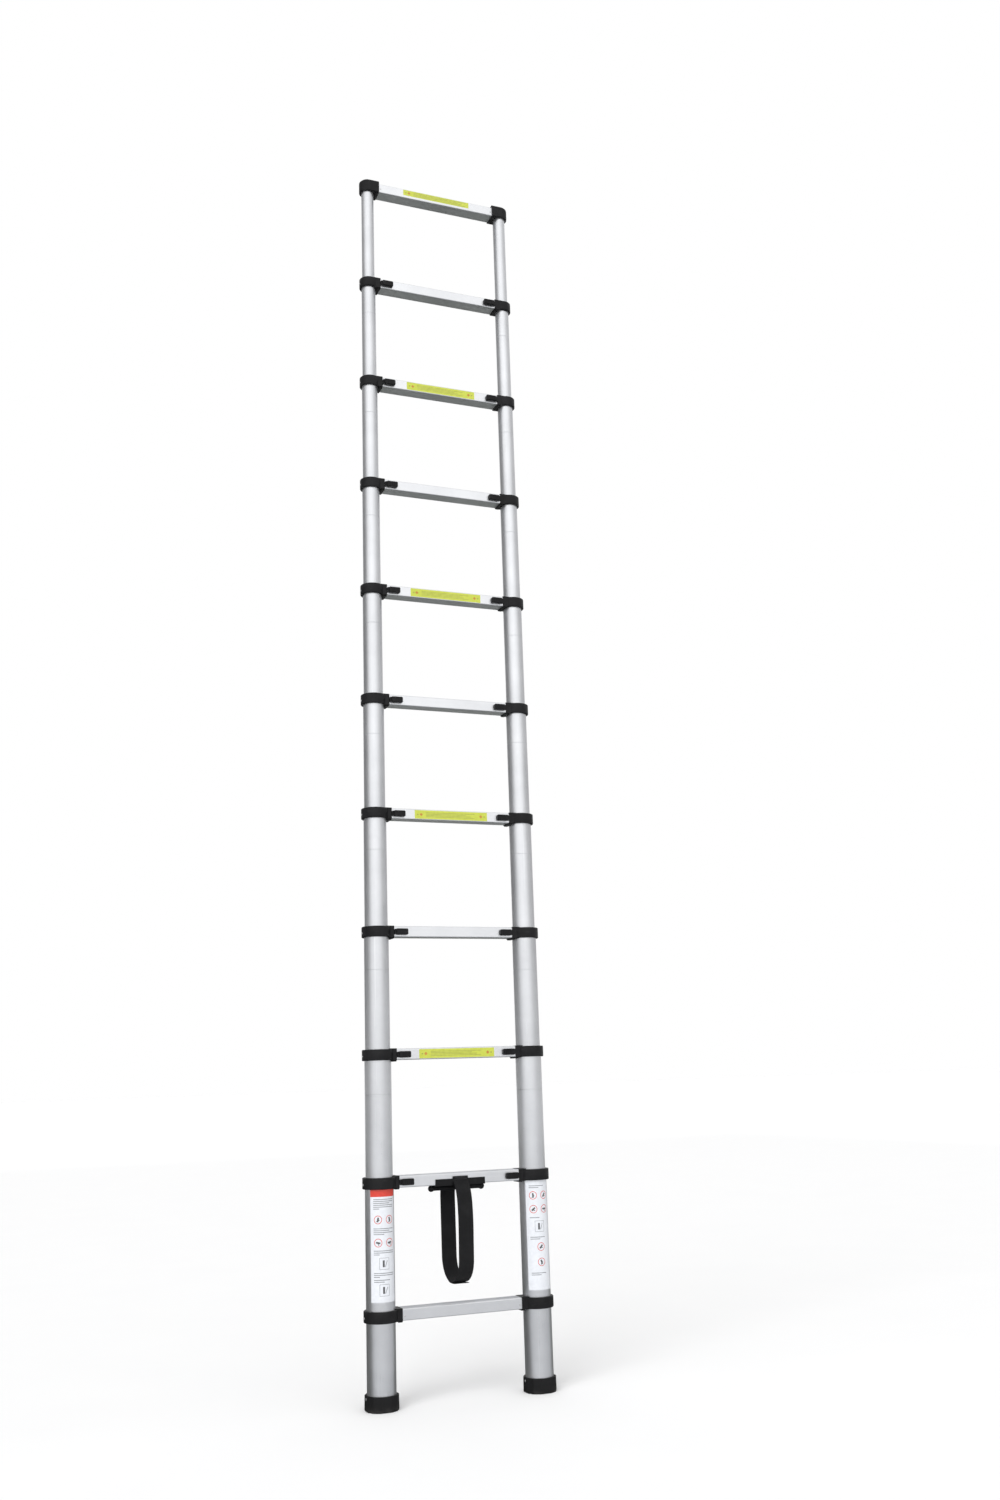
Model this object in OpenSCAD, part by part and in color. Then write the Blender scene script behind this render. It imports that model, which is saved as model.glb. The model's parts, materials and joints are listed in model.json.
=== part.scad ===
// Telescoping ladder, fully extended and locked.
// Ten pairs of nested aluminium tubes, eleven box rungs, one moulded collar pair at each rung,
// two thumb latches at every sliding section, feet, top caps and a carrying strap.
// Origin: on the floor, midway between the two rails. X runs along the rungs, Z is up.

/* [Rails] */
// Distance between the axes of the two rails
rail_spacing = 393; // [380:1:420]
// Outer radius of the lowest and widest tube
base_tube_r = 34; // [33:0.5:35]
// Wall thickness of every tube
tube_wall = 1.4; // [1.2:0.1:1.4]
// Radial gap between one tube and the next one inside it
tube_gap = 0.5; // [0.5:0.1:0.6]
// Length of each tube that stays inside the tube below it
tube_overlap = 85; // [70:1:100]

/* [Rungs] */
// Vertical distance between rungs
rung_pitch = 295; // [285:1:310]
// Height of the centre of the first rung above the floor
first_rung_z = 202; // [190:1:220]
// Front to back depth of a rung
rung_depth = 38; // [36:1:38]
// Height of a rung
rung_h = 26; // [25:0.5:26]
// Wall thickness of a rung
rung_wall = 1.6; // [1.4:0.1:2]
// Number of grip ridges along the tread
ridge_count = 9; // [5:2:9]

/* [Collars] */
// Height of a collar ring
collar_h = 26; // [25:0.5:27]
// Radial thickness of a collar ring
collar_wall = 6; // [5.5:0.5:6.5]
// Height that one collar takes up when the ladder is closed
stack_pitch = 31.5; // [31:0.5:33]
// Height of a top cap
cap_h = 34; // [32:1:38]

/* [Latches] */
// Diameter of a lock pin
pin_d = 10; // [8:0.5:10]
// Travel of a thumb latch
latch_travel = 8; // [8:0.5:9]
// Length of a thumb pad
thumb_l = 30; // [27:1:31]
// Height of a thumb pad
thumb_h = 15; // [13:1:16]

/* [Feet] */
// Width of a foot across its flats
foot_w = 77; // [75:1:80]
// Height of a foot
foot_h = 34; // [30:1:40]

/* [Strap] */
// Width of the webbing
strap_w = 38; // [30:1:40]
// Thickness of the webbing
strap_t = 1.8; // [1.4:0.1:2]
// Depth that the loop hangs below the rung's centre
strap_drop = 236; // [210:1:250]
// Length of the strap clip
clip_l = 126; // [110:1:140]

/* [Hidden] */
$fn = 96;
last_level = 11;

half = rail_spacing / 2;
tube_step = tube_wall + tube_gap;
fit = 0.05;
running_gap = 0.3;
bush_h = 8;
lip_t = 2.5;
groove_r = 1;
groove_depth = 0.4;
foot_floor = 6;
rung_top = rung_h / 2 + 0.5;
rung_bottom = rung_top - rung_h;
block_half = rung_depth / 2 + 1.5;
block_top = rung_top + 1.3;
block_bottom = rung_bottom - 1.3;
lip_bottom = block_top + 0.5 - stack_pitch;
ridge_h = 0.8;
plug_gap = 0.1;
neck_l = 4;
neck_h = 13;
thumb_t = 9;
link_l = 12;
link_h = 8;
link_start = 14;
carrier_l = 18;
clip_t = 1.8;
clip_gap = 0.2;

// Height of the centre of rung k
function level(k) = first_rung_z + (k - 1) * rung_pitch;

// Outer radius of tube s, counted from the bottom
function tube_r(s) = base_tube_r - (s - 1) * tube_step;

// Number of the tube that carries the collar at level k
function carrier(k) = max(1, k - 1);

// Outer radius of the collar ring at level k
function ring_r(k) = tube_r(carrier(k)) + collar_wall;

// How far the collar block reaches past its ring, towards the rung
function block_past(k) = k == 1 ? 7 : k == last_level ? 4.6 : 4;

// Distance from the rail axis to the end of the rung at level k
function block_end(k) = ring_r(k) + block_past(k);

// Lower end of tube s, above the slide bush
function tube_bottom(s) = s == 1 ? foot_floor : level(s) - tube_overlap + bush_h;

// Upper end of tube s, under the lip of its collar
function tube_top(s) = level(s + 1) + collar_h / 2 - lip_t;

// Both rails: the left one as drawn, and its mirror image
module both_rails() {
  translate([-half, 0, 0]) children();
  mirror([1, 0, 0]) translate([-half, 0, 0]) children();
}

// Box with its four edges along Y rounded, growing from the origin along +X and +Y, centred on Z
module rounded_slab(length, thickness, height, r) {
  translate([r, 0, -height / 2]) cube([length - 2 * r, thickness, height]);
  translate([0, 0, r - height / 2]) cube([length, thickness, height - 2 * r]);
  for (x = [r, length - r], z = [r - height / 2, height / 2 - r])
    translate([x, 0, z]) rotate([-90, 0, 0]) cylinder(r = r, h = thickness, $fn = 32);
}

// Ring with small chamfers on its outer edges, from z = 0 up
module chamfered_ring(r, h, chamfer) {
  rotate_extrude()
    polygon([[0, 0], [r - chamfer, 0], [r, chamfer], [r, h - chamfer], [r - chamfer, h], [0, h]]);
}

// One tube of section s with its pin holes and the rolled groove below the next collar
module tube(s) {
  r = tube_r(s);
  bottom = tube_bottom(s);
  difference() {
    translate([0, 0, bottom]) cylinder(r = r, h = tube_top(s) - bottom);
    translate([0, 0, bottom - 1]) cylinder(r = r - tube_wall, h = tube_top(s) - bottom + 2);
    // Hole that the lock pin of the collar at this tube's top passes through
    if (s < 10)
      translate([0, 0, level(s + 1)]) rotate([0, 90, 0]) cylinder(d = pin_d + 0.4, h = 2 * r, $fn = 48);
    // Lock hole at the collar that this tube slides in
    if (s > 1)
      translate([0, 0, level(s)]) rotate([0, 90, 0]) cylinder(d = pin_d + 1, h = 2 * r, $fn = 48);
    // Rolled groove under the end of the tube inside
    if (s < 10)
      translate([0, 0, level(s + 1) - tube_overlap - bush_h])
        rotate_extrude() translate([r + groove_r - groove_depth, 0]) circle(r = groove_r, $fn = 24);
  }
}

module rails(s) {
  color("silver") both_rails() tube(s);
}

// Slide bush at the lower end of tube s
module bush(s) {
  translate([0, 0, level(s) - tube_overlap]) difference() {
    cylinder(r = tube_r(s) + tube_gap - 0.1, h = bush_h);
    translate([0, 0, -1]) cylinder(r = tube_r(s) - tube_wall, h = bush_h + 2);
  }
}

// Block on the rung side of a collar, with the plug that fits inside the rung
module rung_socket(k, plug_l) {
  end = block_end(k);
  translate([0, -block_half, block_bottom]) cube([end, 2 * block_half, block_top - block_bottom]);
  translate([end - 9, 4 - block_half, lip_bottom])
    cube([9, 2 * block_half - 8, block_bottom - lip_bottom + 1]);
  inset = rung_wall + plug_gap;
  translate([end - 1, inset - rung_depth / 2, rung_bottom + inset])
    cube([plug_l + 1, rung_depth - 2 * inset, rung_h - 2 * inset]);
}

// Moulded collar at level k on the top of its tube, with the bore that the pin slides in
module collar(k) {
  lip_z = collar_h / 2 - lip_t;
  difference() {
    union() {
      translate([0, 0, -collar_h / 2]) chamfered_ring(ring_r(k), collar_h, 1.2);
      rung_socket(k, k == 1 ? 30 : 12);
    }
    translate([0, 0, -stack_pitch]) cylinder(r = tube_r(carrier(k)) + fit, h = stack_pitch + lip_z);
    translate([0, 0, -stack_pitch])
      cylinder(r = k == 1 ? base_tube_r + fit : tube_r(k) + running_gap, h = 2 * stack_pitch);
    if (k > 1)
      rotate([0, 90, 0]) cylinder(d = pin_d + 0.2, h = block_end(k) + 20, $fn = 48);
  }
}

// Collar pair at level k, and the slide bushes of the tubes that carry it
module collars(k) {
  color("dimgray") both_rails() {
    translate([0, 0, level(k)]) collar(k);
    if (k > 2) bush(k - 1);
  }
}

// Closed cap over the top of a rail, with grip ribs, and the bush at the foot of its tube
module top_cap() {
  r = ring_r(last_level);
  end = block_end(last_level);
  chamfer = 4;
  rib = 0.5;
  difference() {
    union() {
      rotate_extrude()
        polygon([[0, 0], [r - 1, 0], [r, 1], [r, cap_h - chamfer], [r - chamfer, cap_h], [0, cap_h]]);
      rotate([90, 0, 90]) linear_extrude(end)
        polygon([
          [-r, 1], [1 - r, 0], [r - 1, 0], [r, 1],
          [r, cap_h - chamfer], [r - chamfer, cap_h], [chamfer - r, cap_h], [-r, cap_h - chamfer]
        ]);
      for (x = [3 : 3.5 : end - 2])
        translate([x, -r - rib, 4]) cube([1.4, rib + 1, cap_h - 10]);
      for (a = [195 : 9 : 265])
        rotate([0, 0, a]) translate([r - 1, -0.7, 4]) cube([1 + rib, 1.4, cap_h - 10]);
      translate([0, 0, collar_h / 2]) rung_socket(last_level, 30);
    }
    translate([0, 0, -stack_pitch]) cylinder(r = tube_r(10) + fit, h = stack_pitch + tube_top(10)
      - level(last_level) + collar_h / 2);
  }
}

module top_caps() {
  color("dimgray") both_rails() {
    translate([0, 0, level(last_level) - collar_h / 2]) top_cap();
    bush(10);
  }
}

// Slot in the front face of a rung that the link of the thumb latch slides in
module latch_slot(k) {
  translate([block_end(k) + link_start - 0.5, -rung_depth / 2 - 1, -link_h / 2 - 0.5])
    cube([link_l + latch_travel + 1.5, rung_wall + 2, link_h + 1]);
}

// Box-section rung at level k with a ridged tread
module rung(k) {
  length = rail_spacing - 2 * block_end(k);
  ridge_pitch = (rung_depth - 6) / (ridge_count - 1);
  color("gainsboro") translate([0, 0, level(k)]) difference() {
    union() {
      translate([-length / 2, -rung_depth / 2, (rung_top + rung_bottom) / 2])
        rounded_bar(length, rung_depth, rung_h, 2);
      for (i = [0 : ridge_count - 1])
        translate([-length / 2, 2.5 - rung_depth / 2 + i * ridge_pitch, rung_top - 0.5])
          cube([length, 1, ridge_h + 0.5]);
    }
    translate([-length / 2 - 1, rung_wall - rung_depth / 2, rung_bottom + rung_wall])
      cube([length + 2, rung_depth - 2 * rung_wall, rung_h - 2 * rung_wall]);
    if (k > 1 && k < last_level) both_rails() latch_slot(k);
  }
}

// Solid bar along +X with its four long edges rounded, centred on Z, growing along +Y
module rounded_bar(length, depth, height, r) {
  translate([0, r, -height / 2]) cube([length, depth - 2 * r, height]);
  translate([0, 0, r - height / 2]) cube([length, depth, height - 2 * r]);
  for (y = [r, depth - r], z = [r - height / 2, height / 2 - r])
    translate([0, y, z]) rotate([0, 90, 0]) cylinder(r = r, h = length, $fn = 32);
}

// Thumb pad with grip grooves, its neck, the link through the rung and the pin carrier
module thumb_slider(k) {
  front = -rung_depth / 2 - running_gap;
  end = block_end(k);
  difference() {
    union() {
      translate([end + running_gap, front - 5, 0]) rounded_slab(neck_l + 3, 5, neck_h, 1);
      translate([end + neck_l, front - thumb_t + 1.5, 0]) rounded_slab(thumb_l, thumb_t - 1.5, thumb_h, 3);
      translate([end + neck_l + 1.2, front - thumb_t, 0])
        rounded_slab(thumb_l - 2.4, 2, thumb_h - 2.4, 2);
      translate([end + link_start, front - 1, -link_h / 2]) cube([link_l, 13, link_h]);
      translate([end + link_start, -9, -9]) cube([carrier_l, 18, 18]);
    }
    for (x = [8 : 5 : thumb_l - 6])
      translate([end + neck_l + x, front - thumb_t - 1, -thumb_h / 2 + 2.5]) cube([2, 1.8, thumb_h - 5]);
    translate([end + link_start - 1, 0, 0]) rotate([0, 90, 0]) cylinder(d = pin_d, h = 11, $fn = 48);
  }
}

// Steel lock pin, seated in the carrier, with its nose just outside the sliding tube
module lock_pin(k) {
  nose = tube_r(k) + 0.4;
  translate([nose, 0, 0]) rotate([0, 90, 0])
    cylinder(d = pin_d - 0.02, h = block_end(k) + link_start + 9.9 - nose, $fn = 48);
}

// Thumb latch on the left rail at level k
module latch(k) {
  color("dimgray") translate([-half, 0, level(k)]) {
    thumb_slider(k);
    lock_pin(k);
  }
}

module latch_left(k) {
  latch(k);
}

module latch_right(k) {
  mirror([1, 0, 0]) latch(k);
}

// Moulded foot: a twelve-sided shoe around the tube, with grooves across its sole
module foot() {
  lean = 1.2;
  w = foot_w / 2;
  outline = [[2 - w, 0], [w - 2, 0], [w, 3], [w - lean, foot_h], [lean - w, foot_h], [-w, 3]];
  color("dimgray") translate([-half, 0, 0]) difference() {
    intersection() {
      rotate([0, 0, 15]) cylinder(r = w / cos(15), h = foot_h, $fn = 12);
      rotate([90, 0, 0]) translate([0, 0, -foot_w]) linear_extrude(2 * foot_w) polygon(outline);
      rotate([90, 0, 90]) translate([0, 0, -foot_w]) linear_extrude(2 * foot_w) polygon(outline);
    }
    translate([0, 0, foot_floor]) cylinder(r = base_tube_r + fit, h = foot_h);
    for (y = [-19.5 : 13 : 19.5])
      translate([-foot_w, y - 1.5, -1]) cube([2 * foot_w, 3, 3]);
  }
}

module foot_left() {
  foot();
}

module foot_right() {
  mirror([1, 0, 0]) foot();
}

// Channel clipped under the second rung, with a rolled rear edge that the strap hangs from
module strap_clip() {
  inner = rung_depth / 2 + clip_gap;
  outer = inner + clip_t;
  floor_z = rung_bottom - clip_gap - clip_t;
  roll_r = 6.5;
  color("dimgray") translate([0, 0, level(2)]) {
    translate([-clip_l / 2, -outer, floor_z]) cube([clip_l, 2 * outer, clip_t]);
    for (y = [-outer, inner])
      translate([-clip_l / 2, y, floor_z]) cube([clip_l, clip_t, clip_t + 14]);
    translate([-clip_l / 2 - 1, 10, floor_z - roll_r + 1]) rotate([0, 90, 0])
      cylinder(r = roll_r, h = clip_l + 2, $fn = 48);
    for (side = [-1, 1])
      translate([side * (clip_l / 2 + 1), 10, floor_z - roll_r]) sphere(r = roll_r + 1.2, $fn = 48);
  }
}

// Point of a cubic curve through four control points
function curve(p, t) = pow(1 - t, 3) * p[0] + 3 * t * pow(1 - t, 2) * p[1]
  + 3 * t * t * (1 - t) * p[2] + t * t * t * p[3];

// Centre line of the loop in its plane: two strands flare out below the clip and meet in a round foot
strand_y = rung_depth / 2 + clip_gap + clip_t + running_gap + strap_t / 2;
loop_y = 51.5;
bend_h = 52;
bend_z = bend_h + strap_t / 2 - strap_drop;
front_curve = [[-strand_y, -4], [-40, -20], [-loop_y, -40], [-loop_y, -110]];
back_curve = [[loop_y, -42], [loop_y, -14], [30, -20], [strand_y, -6]];
front_strand = concat([[-strand_y, 6]], [for (i = [0 : 12]) curve(front_curve, i / 12)]);
loop_foot = [for (a = [0 : 10 : 180]) [-loop_y * cos(a), bend_z - bend_h * sin(a)]];
back_strand = concat([for (i = [0 : 12]) curve(back_curve, i / 12)], [[strand_y, 6]]);
loop_line = concat(front_strand, loop_foot, back_strand);

// Unit normal of the loop's centre line at point i
function loop_normal(i) =
  let (a = loop_line[max(i - 1, 0)], b = loop_line[min(i + 1, len(loop_line) - 1)], d = b - a)
  [-d.y, d.x] / norm(d);

// Webbing loop that ties the closed ladder and serves to carry it
module strap() {
  count = len(loop_line);
  inner_side = [for (i = [0 : count - 1]) loop_line[i] + loop_normal(i) * strap_t / 2];
  outer_side = [for (i = [count - 1 : -1 : 0]) loop_line[i] - loop_normal(i) * strap_t / 2];
  color("black") translate([-strap_w / 2, 0, level(2)])
    rotate([90, 0, 90]) linear_extrude(strap_w) polygon(concat(inner_side, outer_side));
}

for (s = [1 : 10])
  rails(s);
for (k = [1 : 10])
  collars(k);
top_caps();
for (k = [1 : 11])
  rung(k);
for (k = [2 : 10])
  latch_left(k);
for (k = [2 : 10])
  latch_right(k);
foot_left();
foot_right();
strap_clip();
strap();
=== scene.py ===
"""Looks for the telescoping ladder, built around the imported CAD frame.

Metres, in the CAD frame: X along the rungs, -Y the climbing side, Z up, and the origin on the floor between
the rails.
"""

import json
import math

import bmesh
import bpy
from mathutils import Matrix, Vector


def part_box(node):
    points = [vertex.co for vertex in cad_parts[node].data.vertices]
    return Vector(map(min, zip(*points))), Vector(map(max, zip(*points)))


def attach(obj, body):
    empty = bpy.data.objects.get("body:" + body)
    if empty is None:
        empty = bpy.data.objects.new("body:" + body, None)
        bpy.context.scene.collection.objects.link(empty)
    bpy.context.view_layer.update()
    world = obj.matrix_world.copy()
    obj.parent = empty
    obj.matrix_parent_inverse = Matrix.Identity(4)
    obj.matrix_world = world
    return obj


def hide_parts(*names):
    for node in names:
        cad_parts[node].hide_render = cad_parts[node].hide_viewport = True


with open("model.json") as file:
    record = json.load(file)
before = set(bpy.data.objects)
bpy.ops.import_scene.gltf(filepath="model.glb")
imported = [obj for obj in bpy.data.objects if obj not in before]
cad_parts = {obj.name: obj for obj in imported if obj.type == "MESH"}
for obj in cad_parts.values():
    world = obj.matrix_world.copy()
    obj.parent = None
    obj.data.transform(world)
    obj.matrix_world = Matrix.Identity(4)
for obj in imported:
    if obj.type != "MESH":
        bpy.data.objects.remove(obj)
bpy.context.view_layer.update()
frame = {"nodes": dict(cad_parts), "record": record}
NODES = frame["nodes"]
BODY_OF = {
    node: body
    for body, members in frame["record"]["behaviour"]["bodies"].items()
    for node in members
}

MM = 0.001
RUNGS = 11
TUBES = 10
# From the centre of a rung down to its flat underside
RUNG_BELOW_LEVEL = 12.5 * MM
# Wall of a top cap round its tube
CAP_WALL = 6 * MM


# ---------------------------------------------------------------- sizes read from the frame

# From the middle of the ladder to the axis of each rail
HALF = sum(corner.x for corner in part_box("foot_right")) / 2


def tube_radius(section):
    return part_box(f"rails_{section}")[1].x - HALF


def level(k):
    """Height of the centre of rung k."""
    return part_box(f"rung_{k}")[0].z + RUNG_BELOW_LEVEL


def ring_radius(k):
    """Outer radius of the collar ring at level k."""
    if k == RUNGS:
        return tube_radius(TUBES) + CAP_WALL
    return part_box(f"collars_{k}")[1].x - HALF


def rung_half(k):
    """Half the length of rung k."""
    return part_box(f"rung_{k}")[1].x


RUNG_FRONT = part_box("rung_1")[0].y
RUNG_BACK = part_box("rung_1")[1].y


# ---------------------------------------------------------------- node helpers

class Graph:
    """A material's node tree, with short calls for the nodes used here."""

    def __init__(self, name):
        self.material = bpy.data.materials.new(name)
        self.material.use_nodes = True
        self.tree = self.material.node_tree
        self.shader = self.tree.nodes["Principled BSDF"]

    def node(self, kind, **settings):
        made = self.tree.nodes.new(kind)
        for key, value in settings.items():
            setattr(made, key, value)
        return made

    def link(self, source, target):
        self.tree.links.new(source, target)

    def set(self, **values):
        for key, value in values.items():
            self.shader.inputs[key.replace("_", " ")].default_value = value

    def coords(self, scale=(1, 1, 1), output="Object"):
        texture = self.node("ShaderNodeTexCoord")
        mapping = self.node("ShaderNodeMapping")
        mapping.inputs["Scale"].default_value = scale
        self.link(texture.outputs[output], mapping.inputs["Vector"])
        return mapping.outputs["Vector"]

    def noise(self, vector, scale, detail=3.0, roughness=0.55):
        made = self.node("ShaderNodeTexNoise")
        made.inputs["Scale"].default_value = scale
        made.inputs["Detail"].default_value = detail
        made.inputs["Roughness"].default_value = roughness
        self.link(vector, made.inputs["Vector"])
        return made.outputs["Fac"]

    def ramp(self, source, low, high, start=0.0, end=1.0):
        """Maps source from start..end to low..high."""
        made = self.node("ShaderNodeMapRange")
        made.inputs["From Min"].default_value = start
        made.inputs["From Max"].default_value = end
        made.inputs["To Min"].default_value = low
        made.inputs["To Max"].default_value = high
        self.link(source, made.inputs["Value"])
        return made.outputs["Result"]

    def math(self, operation, a, b):
        made = self.node("ShaderNodeMath", operation=operation)
        for socket, value in zip(made.inputs, (a, b)):
            if isinstance(value, (int, float)):
                socket.default_value = value
            else:
                self.link(value, socket)
        return made.outputs["Value"]

    def mix(self, factor, a, b):
        made = self.node("ShaderNodeMix", data_type="RGBA")
        self.link(factor, made.inputs["Factor"])
        for socket, value in ((made.inputs[6], a), (made.inputs[7], b)):
            if isinstance(value, tuple):
                socket.default_value = (*value, 1)
            else:
                self.link(value, socket)
        return made.outputs[2]

    def bump(self, height, strength, distance, normal=None):
        made = self.node("ShaderNodeBump")
        made.inputs["Strength"].default_value = strength
        made.inputs["Distance"].default_value = distance
        self.link(height, made.inputs["Height"])
        if normal is not None:
            self.link(normal, made.inputs["Normal"])
        return made.outputs["Normal"]

    def upward(self):
        """1 where the surface faces up, 0 where it faces sideways or down."""
        geometry = self.node("ShaderNodeNewGeometry")
        split = self.node("ShaderNodeSeparateXYZ")
        self.link(geometry.outputs["Normal"], split.inputs["Vector"])
        return self.ramp(split.outputs["Z"], 0.0, 1.0, 0.55, 1.0)

    def finish(self, colour=None, roughness=None, normal=None):
        for name, source in (("Base Color", colour), ("Roughness", roughness), ("Normal", normal)):
            if source is not None:
                self.link(source, self.shader.inputs[name])
        return self.material


# ---------------------------------------------------------------- materials

def drawn_aluminium(name, along, dark, light, rough_low, rough_high):
    """Extruded aluminium: fine drawing lines along one axis, soft stains, a few long scuffs."""
    g = Graph(name)
    fine = tuple(5 if axis == along else 900 for axis in "XYZ")
    scuff = tuple(3 if axis == along else 160 for axis in "XYZ")
    lines = g.noise(g.coords(fine), 1.0, 4.0)
    stains = g.noise(g.coords(), 9.0, 5.0, 0.6)
    scratches = g.ramp(g.noise(g.coords(scuff), 1.0, 2.0), 0.0, 1.0, 0.68, 0.74)
    tone = g.mix(g.ramp(stains, 0.0, 1.0, 0.3, 0.7), dark, light)
    tone = g.mix(g.math("MULTIPLY", scratches, 0.35), tone, (0.93, 0.94, 0.95))
    rough = g.math("ADD", g.ramp(lines, rough_low, rough_high, 0.3, 0.7), g.ramp(stains, -0.03, 0.05))
    g.set(Metallic=0.92, Anisotropic=0.35)
    return g.finish(tone, rough, g.bump(lines, 0.14, 0.12 * MM))


def moulded_plastic(name, tone_dark, tone_light, rough_low, rough_high, grain, dust):
    """Black moulded plastic: spark-eroded grain, slightly shiny high spots, dust on what faces up."""
    g = Graph(name)
    grain_noise = g.noise(g.coords(), grain, 3.0, 0.7)
    cloud = g.noise(g.coords(), 22.0, 4.0)
    rub = g.ramp(g.noise(g.coords((60, 60, 220)), 1.0, 3.0), 0.0, 1.0, 0.6, 0.78)
    tone = g.mix(g.ramp(cloud, 0.0, 1.0, 0.3, 0.7), tone_dark, tone_light)
    tone = g.mix(g.math("MULTIPLY", rub, 0.25), tone, (0.05, 0.05, 0.053))
    settled = g.math("MULTIPLY", g.upward(), g.ramp(cloud, 0.2 * dust, dust, 0.35, 0.75))
    tone = g.mix(settled, tone, (0.12, 0.12, 0.118))
    rough = g.ramp(grain_noise, rough_low, rough_high, 0.3, 0.7)
    normal = g.bump(grain_noise, 0.35, 0.18 * MM, g.bump(cloud, 0.12, 0.6 * MM))
    g.set(Specular_IOR_Level=0.17)
    return g.finish(tone, rough, normal)


def foot_rubber():
    """Hard black rubber, scuffed grey towards the sole."""
    g = Graph("foot_rubber")
    grain = g.noise(g.coords(), 700.0, 4.0, 0.7)
    wear = g.noise(g.coords((30, 30, 60)), 1.0, 5.0, 0.65)
    split = g.node("ShaderNodeSeparateXYZ")
    g.link(g.coords(), split.inputs["Vector"])
    low = g.ramp(split.outputs["Z"], 1.0, 0.0, 0.0, 14 * MM)
    scuffed = g.math("MULTIPLY", low, g.ramp(wear, 0.0, 0.8, 0.45, 0.7))
    tone = g.mix(scuffed, (0.007, 0.007, 0.0075), (0.05, 0.048, 0.045))
    rough = g.ramp(grain, 0.5, 0.78, 0.3, 0.7)
    g.set(Specular_IOR_Level=0.25)
    return g.finish(tone, rough, g.bump(grain, 0.4, 0.25 * MM, g.bump(wear, 0.2, 0.5 * MM)))


def webbing():
    """Woven polypropylene: ribs across the width, a twill along the length, a soft sheen."""
    g = Graph("webbing")
    uv = g.coords(output="UV")
    split = g.node("ShaderNodeSeparateXYZ")
    g.link(uv, split.inputs["Vector"])
    across, along = split.outputs["X"], split.outputs["Y"]
    warp = g.math("SINE", g.math("MULTIPLY", across, math.tau / (1.7 * MM)), 0)
    weft = g.math("SINE", g.math("MULTIPLY", along, math.tau / (1.25 * MM)), 0)
    diagonal = g.math("SINE", g.math("MULTIPLY", g.math("ADD", across, along), math.tau / (3.4 * MM)), 0)
    weave = g.math("ADD", g.math("MULTIPLY", warp, weft), g.math("MULTIPLY", diagonal, 0.45))
    fuzz = g.noise(g.coords(), 1500.0, 2.0)
    cloud = g.noise(g.coords(), 30.0, 3.0)
    tone = g.mix(g.ramp(weave, 0.0, 1.0, -1.2, 1.2), (0.003, 0.003, 0.0035), (0.014, 0.014, 0.015))
    tone = g.mix(g.ramp(cloud, 0.0, 0.3, 0.45, 0.7), tone, (0.022, 0.022, 0.023))
    rough = g.ramp(fuzz, 0.55, 0.8, 0.3, 0.7)
    g.set(Sheen_Weight=0.04, Sheen_Roughness=0.4, Specular_IOR_Level=0.18)
    return g.finish(tone, rough, g.bump(weave, 0.6, 0.35 * MM, g.bump(fuzz, 0.15, 0.1 * MM)))


def thread():
    """Sewing thread: twisted strands, a shade lighter than the webbing."""
    g = Graph("thread")
    twist = g.noise(g.coords((800, 800, 2600)), 1.0, 2.0)
    tone = g.mix(twist, (0.03, 0.03, 0.032), (0.09, 0.09, 0.095))
    return g.finish(tone, g.ramp(twist, 0.45, 0.7), g.bump(twist, 0.4, 0.1 * MM))


def printed_film(name, dark, light):
    """Thin plastic film or its ink: faint mottling, slight ripple from the glue under it."""
    g = Graph(name)
    mottle = g.noise(g.coords(), 140.0, 4.0)
    ripple = g.noise(g.coords(), 38.0, 2.0)
    tone = g.mix(g.ramp(mottle, 0.0, 1.0, 0.3, 0.7), dark, light)
    g.set(Coat_Weight=0.15, Coat_Roughness=0.25)
    return g.finish(tone, g.ramp(mottle, 0.3, 0.42), g.bump(ripple, 0.06, 0.2 * MM))


def rivet_steel():
    """Zinc-plated rivet heads with a little tarnish."""
    g = Graph("rivet_steel")
    spots = g.noise(g.coords(), 520.0, 4.0, 0.65)
    tone = g.mix(g.ramp(spots, 0.0, 1.0, 0.35, 0.7), (0.52, 0.52, 0.53), (0.82, 0.82, 0.83))
    g.set(Metallic=1.0)
    return g.finish(tone, g.ramp(spots, 0.22, 0.42), g.bump(spots, 0.1, 0.1 * MM))


def pale_floor():
    g = Graph("pale_floor")
    cloud = g.noise(g.coords(), 3.0, 3.0)
    tone = g.mix(cloud, (0.93, 0.93, 0.935), (0.95, 0.95, 0.95))
    g.set(Specular_IOR_Level=0.1)
    return g.finish(tone, g.ramp(cloud, 0.8, 0.9))


TUBE = drawn_aluminium("tube_aluminium", "Z", (0.62, 0.63, 0.65), (0.72, 0.73, 0.75), 0.26, 0.4)
RUNG = drawn_aluminium("rung_aluminium", "X", (0.7, 0.71, 0.73), (0.78, 0.79, 0.81), 0.28, 0.4)
COLLAR = moulded_plastic(
    "collar_plastic", (0.006, 0.006, 0.0065), (0.013, 0.013, 0.014), 0.34, 0.52, 850.0, 0.16)
LATCH = moulded_plastic(
    "latch_plastic", (0.005, 0.005, 0.0055), (0.011, 0.011, 0.012), 0.26, 0.44, 1100.0, 0.1)
CLIP = moulded_plastic(
    "clip_plastic", (0.004, 0.004, 0.0045), (0.009, 0.009, 0.01), 0.3, 0.46, 700.0, 0.1)
RUBBER = foot_rubber()
WEBBING = webbing()
THREAD = thread()
STEEL = rivet_steel()
LABEL = printed_film("label_film", (0.66, 0.68, 0.72), (0.72, 0.74, 0.78))
RED_INK = printed_film("red_ink", (0.55, 0.035, 0.02), (0.64, 0.05, 0.03))
GREY_INK = printed_film("grey_ink", (0.2, 0.21, 0.23), (0.27, 0.28, 0.3))
DARK_INK = printed_film("dark_ink", (0.05, 0.05, 0.055), (0.09, 0.09, 0.095))
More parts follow.
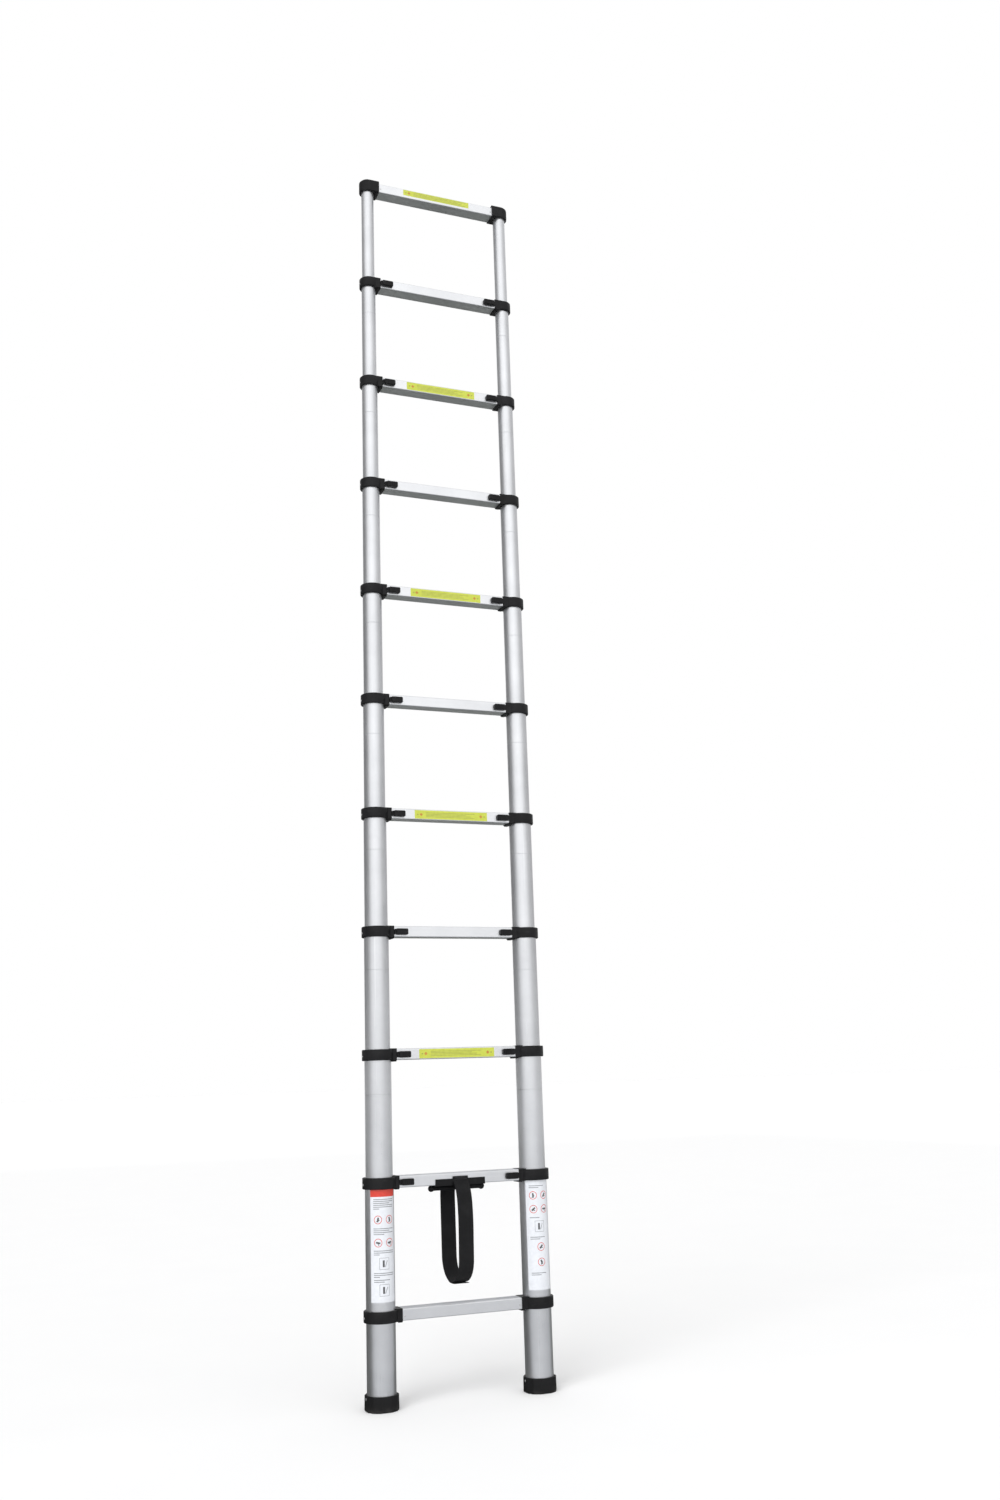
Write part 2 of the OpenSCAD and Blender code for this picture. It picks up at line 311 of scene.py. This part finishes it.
YELLOW = printed_film("sticker_film", (0.46, 0.51, 0.045), (0.52, 0.57, 0.065))
OLIVE_INK = printed_film("olive_ink", (0.26, 0.27, 0.05), (0.33, 0.34, 0.07))
ORANGE_INK = printed_film("orange_ink", (0.42, 0.17, 0.02), (0.5, 0.22, 0.035))

SLOT_MATERIALS = {
    "tube_aluminium": TUBE, "rung_aluminium": RUNG, "collar_plastic": COLLAR, "latch_plastic": LATCH,
    "foot_rubber": RUBBER, "clip_plastic": CLIP, "webbing": WEBBING,
}


EDGE_RADII = {
    "collar_plastic": 0.7 * MM, "latch_plastic": 0.5 * MM, "foot_rubber": 1.6 * MM, "clip_plastic": 0.5 * MM,
}


def dress_cad_nodes():
    """Each CAD node gets the material of its slot, and moulded ones get softened edges."""
    for part in frame["record"]["subparts"]:
        item = NODES[part["node"]]
        slot = part["material_slot"]
        item.data.materials.clear()
        item.data.materials.append(SLOT_MATERIALS[slot])
        if slot in EDGE_RADII:
            weld = item.modifiers.new("weld", "WELD")
            weld.merge_threshold = 0.01 * MM
            bevel = item.modifiers.new("soft_edges", "BEVEL")
            bevel.width = EDGE_RADII[slot]
            bevel.segments = 2
            bevel.limit_method = "ANGLE"
            bevel.angle_limit = math.radians(40)
            bevel.harden_normals = True


# ---------------------------------------------------------------- mesh helpers

def new_piece(name, bm, materials, body, smooth=True):
    """A mesh object made from bm, riding on body."""
    mesh = bpy.data.meshes.new(name)
    bm.normal_update()
    bm.to_mesh(mesh)
    bm.free()
    for material in materials:
        mesh.materials.append(material)
    for polygon in mesh.polygons:
        polygon.use_smooth = smooth
    piece = bpy.data.objects.new(name, mesh)
    bpy.context.scene.collection.objects.link(piece)
    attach(piece, body)
    return piece


def add_revolved(bm, profile, place):
    """Revolves (radius, height) points about the local Z of place. The first and last radius is 0."""
    steps = 24

    def ring(radius, height):
        if radius == 0:
            return [bm.verts.new(place @ Vector((0, 0, height)))]
        return [
            bm.verts.new(place @ Vector((
                radius * math.cos(math.tau * i / steps), radius * math.sin(math.tau * i / steps), height)))
            for i in range(steps)
        ]

    rings = [ring(*point) for point in profile]
    for a, b in zip(rings, rings[1:]):
        for i in range(steps):
            j = (i + 1) % steps
            corners = [a[i % len(a)], a[j % len(a)], b[j % len(b)], b[i % len(b)]]
            unique = list(dict.fromkeys(corners))
            if len(unique) > 2:
                bm.faces.new(unique)


def aim(position, direction):
    """Matrix that puts local +Z along direction at position."""
    turn = Vector(direction).to_track_quat("Z", "Y").to_matrix().to_4x4()
    return Matrix.Translation(position) @ turn


# ---------------------------------------------------------------- rivets

def rivet_profile(radius, height):
    """Domed head with a small dimple where the mandrel broke off, closed below the surface it sits on."""
    sunk = 0.6 * MM
    points = [(0, -sunk), (radius, -sunk), (radius, 0.15 * height)]
    for i in range(1, 6):
        a = i / 6 * math.pi / 2
        points.append((radius * math.cos(a), 0.15 * height + 0.85 * height * math.sin(a)))
    points += [(0.22 * radius, 0.97 * height), (0.16 * radius, 0.6 * height), (0, 0.55 * height)]
    return points


# Radius and height of each size of rivet head
COLLAR_HEAD = (3.1 * MM, 1.3 * MM)
FACE_HEAD = (2.3 * MM, 0.7 * MM)
FLUSH_HEAD = (1.8 * MM, 0.3 * MM)


def side_rivets(side):
    """Rivets on one side of the ladder: in the collars, through the feet and in the first and last rung."""
    collar_drop, foot_drop, foot_inset = 3 * MM, 8 * MM, 0.9 * MM
    from_rung_end, rung_drop = 5 * MM, 2.5 * MM
    for k in range(1, RUNGS):
        spot = (side * (HALF + ring_radius(k)), 0, level(k) - collar_drop)
        yield BODY_OF[f"collars_{k}"], spot, (side, 0, 0), *COLLAR_HEAD
    for node in ("foot_left", "foot_right"):
        low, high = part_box(node)
        x = (high.x if side > 0 else low.x) - side * foot_inset
        yield BODY_OF[node], (x, 0, high.z - foot_drop), (side, 0, 0), *COLLAR_HEAD
    for k in (1, RUNGS):
        for y, facing in ((RUNG_FRONT, -1), (RUNG_BACK, 1)):
            spot = (side * (rung_half(k) - from_rung_end), y, level(k) - rung_drop)
            yield BODY_OF[f"rung_{k}"], spot, (0, facing, 0), *FACE_HEAD


def underside_rivets():
    """Two flush rivets near the left end under every rung but the first."""
    from_rung_end = 46 * MM
    for k in range(2, RUNGS + 1):
        for y in (-5 * MM, 9 * MM):
            spot = (from_rung_end - rung_half(k), y, level(k) - RUNG_BELOW_LEVEL)
            yield BODY_OF[f"rung_{k}"], spot, (0, 0, -1), *FLUSH_HEAD


def rivet_places():
    """Every rivet as (body, position, direction, radius, height)."""
    return [*side_rivets(-1), *side_rivets(1), *underside_rivets()]


def make_rivets():
    """One piece of rivet heads for each body that has any."""
    groups = {}
    for body, position, direction, radius, height in rivet_places():
        if body not in groups:
            groups[body] = bmesh.new()
        add_revolved(groups[body], rivet_profile(radius, height), aim(position, direction))
    for body, bm in groups.items():
        new_piece(f"rivets_{body}", bm, [STEEL], body)


# ---------------------------------------------------------------- labels and stickers

class Print:
    """Thin printed film with generic marks. place(u, v, lift) maps the flat print to the object."""

    FILM, RED, GREY, DARK = range(4)
    FILM_STRIP = 2 * MM
    MARK_CELL = 2.4 * MM
    RING_STEPS = 40

    def __init__(self, place):
        self.bm = bmesh.new()
        self.place = place

    def face(self, corners, ink, lift):
        made = self.bm.faces.new([self.bm.verts.new(self.place(u, v, lift)) for u, v in corners])
        made.material_index = ink

    def patch(self, u0, u1, v0, v1, ink, lift):
        """Rectangle in upright strips, so that it follows the tube."""
        columns = max(1, math.ceil((u1 - u0) / self.FILM_STRIP))
        for i in range(columns):
            a = u0 + (u1 - u0) * i / columns
            b = u0 + (u1 - u0) * (i + 1) / columns
            self.face([(a, v0), (b, v0), (b, v1), (a, v1)], ink, lift)

    def ring(self, u, v, inner, outer, ink, lift):
        for i in range(self.RING_STEPS):
            a, b = (math.tau * (i + j) / self.RING_STEPS for j in (0, 1))
            points = [(inner, a), (outer, a), (outer, b), (inner, b)]
            self.face([(u + r * math.cos(t), v + r * math.sin(t)) for r, t in points], ink, lift)

    def bar(self, u, v, length, width, angle, ink, lift):
        """Straight bar, cut into small squares so that it follows the tube."""
        c, s = math.cos(angle), math.sin(angle)
        columns, rows = (max(1, math.ceil(size / self.MARK_CELL)) for size in (length, width))
        for i in range(columns):
            p0, p1 = (length * ((i + j) / columns - 0.5) for j in (0, 1))
            for k in range(rows):
                q0, q1 = (width * ((k + j) / rows - 0.5) for j in (0, 1))
                corners = [(p0, q0), (p1, q0), (p1, q1), (p0, q1)]
                self.face([(u + p * c - q * s, v + p * s + q * c) for p, q in corners], ink, lift)

    def frame(self, u, v, width, height, line, ink, lift):
        self.bar(u, v + height / 2, width, line, 0, ink, lift)
        self.bar(u, v - height / 2, width, line, 0, ink, lift)
        self.bar(u - width / 2, v, height, line, math.pi / 2, ink, lift)
        self.bar(u + width / 2, v, height, line, math.pi / 2, ink, lift)

    def rows(self, top, count, half_width):
        """Plain grey rules that stand for small print. Every third is shorter, and the last is about half."""
        pitch, rule_width, first_drop = 4.2 * MM, 1.7 * MM, 0.8 * MM
        for i in range(count):
            shorter = 0.22 * ((i * 7 + count) % 3 == 2) + 0.5 * (i == count - 1)
            ends = half_width * (1 - shorter)
            middle = top - i * pitch - first_drop
            self.bar(ends - half_width, middle, 2 * ends, rule_width, 0, self.GREY, MARK_LIFT)

    def sign(self, u, v, radius, turn):
        """Plain red ring round two dark bars."""
        self.ring(u, v, 0.86 * radius, radius, self.RED, MARK_LIFT)
        self.bar(u, v, 1.1 * radius, 0.4 * radius, turn, self.DARK, MARK_LIFT)
        self.bar(u, v - 0.25 * radius, 0.9 * radius, 0.16 * radius, turn - 0.9, self.DARK, TOP_LIFT)

    def box_sign(self, u, v, width, height):
        """Thin square frame around two plain dark bars."""
        self.frame(u, v, width, height, 0.8 * MM, self.GREY, MARK_LIFT)
        self.bar(u - 0.08 * width, v, 0.6 * height, 0.2 * width, math.pi / 2, self.DARK, MARK_LIFT)
        self.bar(u + 0.2 * width, v, 0.6 * height, 0.06 * width, math.radians(70), self.GREY, MARK_LIFT)

    def lozenge(self, u, v, size):
        self.bar(u, v, size, size, math.radians(45), self.RED, MARK_LIFT)

    def build(self, name, materials, body):
        piece = new_piece(name, self.bm, materials, body, smooth=False)
        shell = piece.modifiers.new("film_thickness", "SOLIDIFY")
        shell.thickness = 0.06 * MM
        shell.offset = -1


def on_tube(axis_x, radius):
    """Wraps a print round a tube, centred on its climbing side."""
    def place(u, v, lift):
        r = radius + lift
        return Vector((axis_x + r * math.sin(u / radius), -r * math.cos(u / radius), v))
    return place


def on_face(front):
    """Lays a print on the front face of a rung."""
    def place(u, v, lift):
        return Vector((u, front - lift, v))
    return place


# Heights of the print's layers above the metal
FILM_LIFT = 0.1 * MM
MARK_LIFT = 0.19 * MM
TOP_LIFT = 0.24 * MM
LABEL_MATERIALS = [LABEL, RED_INK, GREY_INK, DARK_INK]
STICKER_MATERIALS = [YELLOW, ORANGE_INK, OLIVE_INK, DARK_INK]
SIGN_RADIUS = 9.5 * MM
BOX_SIGN = (23 * MM, 25 * MM)
# Distances round the tube from the middle of a label: to the centres of a pair of signs, and to its edge
SIGN_U = 14.2 * MM
LABEL_HALF = 33 * MM


def make_left_label(top, bottom):
    """Label with a red band, and below it rules, four signs and two box signs, each so many mm down."""
    red_band = 16 * MM
    left = Print(on_tube(-HALF, tube_radius(1)))
    left.patch(-LABEL_HALF, LABEL_HALF, top - red_band, top, left.RED, FILM_LIFT)
    left.patch(-LABEL_HALF, LABEL_HALF, bottom, top - red_band, left.FILM, FILM_LIFT)
    white_top = top - red_band
    for drop, count in ((5, 6), (70, 4), (119, 3), (168, 3), (183, 2)):
        left.rows(white_top - drop * MM, count, 25 * MM)
    for drop, turn in ((51, 90), (102, 0)):
        for side in (-1, 1):
            left.sign(side * SIGN_U, white_top - drop * MM, SIGN_RADIUS, math.radians(turn + 12 * side))
    for drop in (148, 206):
        left.box_sign(0, white_top - drop * MM, *BOX_SIGN)
    left.build("label_left", LABEL_MATERIALS, "base")


def make_right_label(top, bottom):
    """White label with rules, four signs, a box sign and two more signs, each so many mm down."""
    right = Print(on_tube(HALF, tube_radius(1)))
    right.patch(-LABEL_HALF, LABEL_HALF, bottom, top, right.FILM, FILM_LIFT)
    for drop, count in ((12, 2), (86, 1), (131, 2), (213, 2)):
        right.rows(top - drop * MM, count, 24 * MM)
    for drop, turn in ((35, 75), (67, 20)):
        for side in (-1, 1):
            right.sign(side * SIGN_U, top - drop * MM, SIGN_RADIUS, math.radians(turn - 20 * side))
    right.box_sign(0, top - 107 * MM, *BOX_SIGN)
    for drop, turn in ((154, 50), (189, 110)):
        right.sign(2 * MM, top - drop * MM, SIGN_RADIUS, math.radians(turn))
    right.build("label_right", LABEL_MATERIALS, "base")


def make_base_labels():
    """Wrap-round labels on both base tubes, between the first two collars."""
    top = level(2) - 13.3 * MM
    bottom = level(1) + 33 * MM
    make_left_label(top, bottom)
    make_right_label(top, bottom - 4 * MM)


def make_rung_stickers():
    """Yellow stickers on every second rung from the third. The one on the top rung is narrower and higher."""
    half_length = 97.5 * MM
    rule_pitch, rule_half = 3.4 * MM, 0.55 * MM
    for k in range(3, RUNGS + 1, 2):
        is_top = k == RUNGS
        centre = level(k) + (2.9 if is_top else 0.5) * MM
        half_height = (8.5 if is_top else 10.9) * MM
        sticker = Print(on_face(RUNG_FRONT))
        sticker.patch(-half_length, half_length, centre - half_height, centre + half_height,
                      sticker.FILM, FILM_LIFT)
        for side in (-1,) if is_top else (-1, 1):
            sticker.lozenge(side * (half_length - 17 * MM), centre, 6 * MM)
            sticker.bar(side * (half_length - 8 * MM), centre, 4 * MM, 3 * MM, 0, sticker.GREY, MARK_LIFT)
        start = 30 * MM - half_length
        end = half_length - (8 if is_top else 34) * MM
        for i in range(4):
            v = centre + (1.5 - i) * rule_pitch
            shorter = (i * 17 % 3) * 12 * MM
            sticker.patch(start, end - shorter, v - rule_half, v + rule_half, sticker.GREY, MARK_LIFT)
        sticker.build(f"sticker_{k}", STICKER_MATERIALS, BODY_OF[f"rung_{k}"])


# ---------------------------------------------------------------- strap

# The loop's (y, z) points are measured from the centre of the second rung
STRAP_WIDTH = 38 * MM
STRAP_THICK = 1.5 * MM
STRAP_TOP = 6 * MM
STRAP_DROP = 236 * MM
# Half the thickness of the CAD strap, whose middle line the webbing follows
STRAP_HALF_SOLID = 0.9 * MM
STRAND_Y = 22.2 * MM
LOOP_Y = 51.5 * MM
BEND_HEIGHT = 52 * MM
FRONT_CURVE = [(-STRAND_Y, -4 * MM), (-40 * MM, -20 * MM), (-LOOP_Y, -40 * MM), (-LOOP_Y, -110 * MM)]
BACK_CURVE = [(LOOP_Y, -42 * MM), (LOOP_Y, -14 * MM), (30 * MM, -20 * MM), (STRAND_Y, -6 * MM)]
BACK_SHIFT = -8 * MM
STRAP_FOOT = STRAP_DROP - STRAP_HALF_SOLID
OVERLAP_GAP = 0.1 * MM


def cubic(control, t):
    """Point at t on a cubic Bezier curve."""
    a, b, c, d = (Vector(p) for p in control)
    return (1 - t) ** 3 * a + 3 * t * (1 - t) ** 2 * b + 3 * t * t * (1 - t) * c + t ** 3 * d


def hem(side):
    """(y, z) points of the end folded over the clip's edge, from the raw end to the outside of the clip."""
    raw_y, raw_z = 20.3 * MM, 1.9 * MM
    middle_y = (raw_y + STRAND_Y) / 2
    fold_r = (STRAND_Y - raw_y) / 2
    points = [Vector((side * raw_y, raw_z))]
    for i in range(7):
        a = math.pi * (1 - i / 6)
        y = middle_y + fold_r * math.cos(a)
        points.append(Vector((side * y, STRAP_TOP - fold_r + fold_r * math.sin(a))))
    return points


def strap_line():
    """(y, z) points of the whole loop below the second rung: front strand, round foot, back strand."""
    points = hem(-1) + [Vector((-STRAND_Y, 1 * MM))]
    points += [cubic(FRONT_CURVE, i / 30) for i in range(31)]
    for i in range(41):
        a = math.pi * i / 40
        points.append(Vector((-LOOP_Y * math.cos(a), BEND_HEIGHT * (1 - math.sin(a)) - STRAP_FOOT)))
    points += [cubic(BACK_CURVE, i / 20) for i in range(21)]
    return points + [Vector((STRAND_Y, 0))] + list(reversed(hem(1)))


def ribbon_section():
    """(x, offset) points round the webbing: nine across each flat side and three round each edge."""
    half, thick = STRAP_WIDTH / 2, STRAP_THICK / 2
    flat_half = half - 1.2 * MM
    edge_x, edge_offset = half - 0.3 * MM, 0.5 * thick
    across = [flat_half * (i / 4 - 1) for i in range(9)]
    section = [(x, thick) for x in across]
    section += [(edge_x, edge_offset), (half, 0), (edge_x, -edge_offset)]
    section += [(x, -thick) for x in reversed(across)]
    return section + [(-edge_x, -edge_offset), (-half, 0), (-edge_x, edge_offset)]


def add_ribbon(bm, line, x_centre):
    """A band of webbing along (y, z) points, with rounded edges. Returns its length."""
    uv = bm.loops.layers.uv.verify()
    section = ribbon_section()
    rings = []
    run = [0.0]
    for i, point in enumerate(line):
        a, b = line[max(i - 1, 0)], line[min(i + 1, len(line) - 1)]
        tangent = (b - a).normalized()
        normal = Vector((-tangent.y, tangent.x))
        if i:
            run.append(run[-1] + (point - line[i - 1]).length)
        ring = []
        for x, offset in section:
            spot = point + normal * offset
            ring.append(bm.verts.new((x_centre(run[-1]) + x, spot.x, level(2) + spot.y)))
        rings.append(ring)
    count = len(section)
    for i, (a, b) in enumerate(zip(rings, rings[1:])):
        for j in range(count):
            k = (j + 1) % count
            made = bm.faces.new([a[j], a[k], b[k], b[j]])
            values = ((j, run[i]), (k, run[i]), (k, run[i + 1]), (j, run[i + 1]))
            for loop, (n, v) in zip(made.loops, values):
                loop[uv].uv = (section[n][0], v)
    bm.faces.new(list(reversed(rings[0])))
    bm.faces.new(rings[-1])
    return run[-1]


def add_stitches(bm, centre, across, along, normal, rows, count):
    """Rows of short raised stitches: plates with sloping ends, lying on the webbing."""
    length, width, height = 2.6 * MM, 0.7 * MM, 0.35 * MM
    row_pitch, stitch_pitch = 4 * MM, 1.32 * length
    for row in range(rows):
        for i in range(count):
            row_offset = along * ((row - (rows - 1) / 2) * row_pitch)
            middle = centre + row_offset + across * ((i - (count - 1) / 2) * stitch_pitch)
            low = [middle + across * (length / 2 * a) + along * (width / 2 * b)
                   for a, b in ((-1, -1), (1, -1), (1, 1), (-1, 1))]
            high = [middle + across * (length / 3 * a) + along * (width / 4 * b) + normal * height
                    for a, b in ((-1, -1), (1, -1), (1, 1), (-1, 1))]
            bottom = [bm.verts.new(p) for p in low]
            top = [bm.verts.new(p) for p in high]
            faces = [bm.faces.new(top), bm.faces.new(list(reversed(bottom)))]
            for j in range(4):
                k = (j + 1) % 4
                faces.append(bm.faces.new([bottom[j], bottom[k], top[k], top[j]]))
            for made in faces:
                made.material_index = 1


def overlap_line():
    """(y, z) points of the sewn end that lies under the foot of the loop and follows its bend."""
    drops = ((-24, -0.8), (-18, -0.4), (-12, 0), (-6, 0.1), (0, 0.1), (8, -0.3), (15, -2.3), (21, -5.4))
    middle_z = -STRAP_FOOT - STRAP_THICK - OVERLAP_GAP
    return [Vector((y * MM, middle_z - drop * MM)) for y, drop in drops]


def make_strap():
    """The carrying strap: one loop of webbing folded over the clip, with a sewn overlap at its foot."""
    bm = bmesh.new()
    line = strap_line()
    total = sum((b - a).length for a, b in zip(line, line[1:]))

    def drift(run):
        """Sideways shift of the webbing: none in the front strand, all of it in the back strand."""
        t = min(1, max(0, (run / total - 0.25) / 0.5))
        return BACK_SHIFT * (3 * t * t - 2 * t ** 3)

    length = add_ribbon(bm, line, drift)
    tail_length = add_ribbon(bm, overlap_line(), lambda run: BACK_SHIFT / 2)
    x_axis, y_axis, z_axis = Matrix.Identity(3)
    under = Vector((BACK_SHIFT / 2, -2 * MM, level(2) - STRAP_FOOT - OVERLAP_GAP - 1.5 * STRAP_THICK))
    add_stitches(bm, under, x_axis, y_axis, -z_axis, 3, 9)
    for side, shift in ((-1, 0), (1, BACK_SHIFT)):
        spot = Vector((shift, side * (STRAND_Y + STRAP_THICK / 2), level(2) + 1.5 * MM))
        add_stitches(bm, spot, x_axis, z_axis, side * y_axis, 2, 9)
    bmesh.ops.recalc_face_normals(bm, faces=bm.faces)
    strap = new_piece("strap_webbing", bm, [WEBBING, THREAD], "base")
    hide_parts("strap")
    print("strap length", round(length, 4), "tail", round(tail_length, 4))


# ---------------------------------------------------------------- camera, lights, floor

CAMERA_RIGHT = Vector((0.92854, -0.36983, -0.03204))
CAMERA_UP = Vector((-0.05526, -0.22309, 0.97321))
CAMERA_PLACE = Vector((-1.2125, -3.3415, level(1) + 0.5216))


def make_camera():
    """The camera stands at the climber's left, low down, and looks up."""
    data = bpy.data.cameras.new("camera")
    data.sensor_width = 36
    data.lens = 33.9
    camera = bpy.data.objects.new("camera", data)
    bpy.context.scene.collection.objects.link(camera)
    right = CAMERA_RIGHT.normalized()
    back = right.cross(CAMERA_UP).normalized()
    up = back.cross(right)
    rotation = Matrix((right, up, back)).transposed().to_4x4()
    camera.matrix_world = Matrix.Translation(CAMERA_PLACE) @ rotation
    bpy.context.scene.camera = camera


def make_world():
    """White studio for the camera. What the metal reflects is bright in front and overhead, darker behind."""
    world = bpy.data.worlds.new("studio")
    world.use_nodes = True
    tree = world.node_tree

    def mapped(source, low, high, start, end):
        """Maps source from start..end to low..high, with a soft start and end."""
        made = tree.nodes.new("ShaderNodeMapRange")
        made.interpolation_type = "SMOOTHSTEP"
        for name, value in (("From Min", start), ("From Max", end), ("To Min", low), ("To Max", high)):
            made.inputs[name].default_value = value
        tree.links.new(source, made.inputs["Value"])
        return made.outputs["Result"]

    def combined(operation, a, b):
        made = tree.nodes.new("ShaderNodeMath")
        made.operation = operation
        tree.links.new(a, made.inputs[0])
        tree.links.new(b, made.inputs[1])
        return made.outputs["Value"]

    coordinates = tree.nodes.new("ShaderNodeTexCoord")

    def towards(direction):
        """Cosine of the angle between a ray and direction."""
        made = tree.nodes.new("ShaderNodeVectorMath")
        made.operation = "DOT_PRODUCT"
        tree.links.new(coordinates.outputs["Generated"], made.inputs[0])
        made.inputs[1].default_value = direction
        return made.outputs["Value"]

    window = mapped(towards((-0.34, -0.94, 0)), 0.0, 0.95, 0.1, 1.15)
    overhead = mapped(towards((0, 0, 1)), 0.5, 0.85, -0.1, 0.9)
    corner = mapped(towards((-0.8, 0.6, 0)), 1.0, 0.3, 0.45, 0.95)
    studio = combined("MULTIPLY", combined("ADD", window, overhead), corner)
    path = tree.nodes.new("ShaderNodeLightPath")
    backdrop = combined("MAXIMUM", studio, path.outputs["Is Camera Ray"])
    tree.links.new(backdrop, tree.nodes["Background"].inputs["Strength"])
    tree.nodes["Background"].inputs["Color"].default_value = (1, 1, 1, 1)
    bpy.context.scene.world = world


def make_plane(name, material, centre, size):
    bm = bmesh.new()
    x, y = size[0] / 2, size[1] / 2
    corners = [Vector(centre) + Vector((a * x, b * y, 0)) for a, b in ((-1, -1), (1, -1), (1, 1), (-1, 1))]
    bm.faces.new([bm.verts.new(c) for c in corners])
    mesh = bpy.data.meshes.new(name)
    bm.to_mesh(mesh)
    bm.free()
    mesh.materials.append(material)
    plane = bpy.data.objects.new(name, mesh)
    bpy.context.scene.collection.objects.link(plane)
    return plane


def make_stage():
    """Pale floor, a card on it that only reflections see, and a soft sun from the front left."""
    make_plane("floor", pale_floor(), (0, 0, 0), (400, 400))
    graph = Graph("reflection_card")
    place = graph.node("ShaderNodeSeparateXYZ")
    graph.link(graph.coords(), place.inputs["Vector"])
    to_the_right = graph.ramp(place.outputs["X"], 0.0, 1.0, -0.1, 0.5)
    to_the_front = graph.ramp(place.outputs["Y"], 1.0, 0.0, -0.1, 0.02)
    behind = graph.mix(to_the_right, (0.02, 0.023, 0.02), (0.055, 0.065, 0.055))
    tone = graph.mix(to_the_front, behind, (0.5, 0.51, 0.53))
    card = make_plane("reflection_card", graph.finish(tone), (0, 0, 1 * MM), (16, 24))
    card.visible_camera = False
    card.visible_diffuse = False
    card.visible_shadow = False
    card.visible_transmission = False
    data = bpy.data.lights.new("sun", "SUN")
    data.energy = 1.15
    data.angle = math.radians(32)
    sun = bpy.data.objects.new("sun", data)
    bpy.context.scene.collection.objects.link(sun)
    sun.visible_glossy = False
    sun.matrix_world = aim(Vector((0, 0, 6)), Vector((-0.75, -0.75, 0.85)))
    bpy.context.scene.view_settings.view_transform = "Standard"


dress_cad_nodes()
make_rivets()
make_base_labels()
make_rung_stickers()
make_strap()
make_camera()
make_world()
make_stage()

bpy.context.view_layer.update()
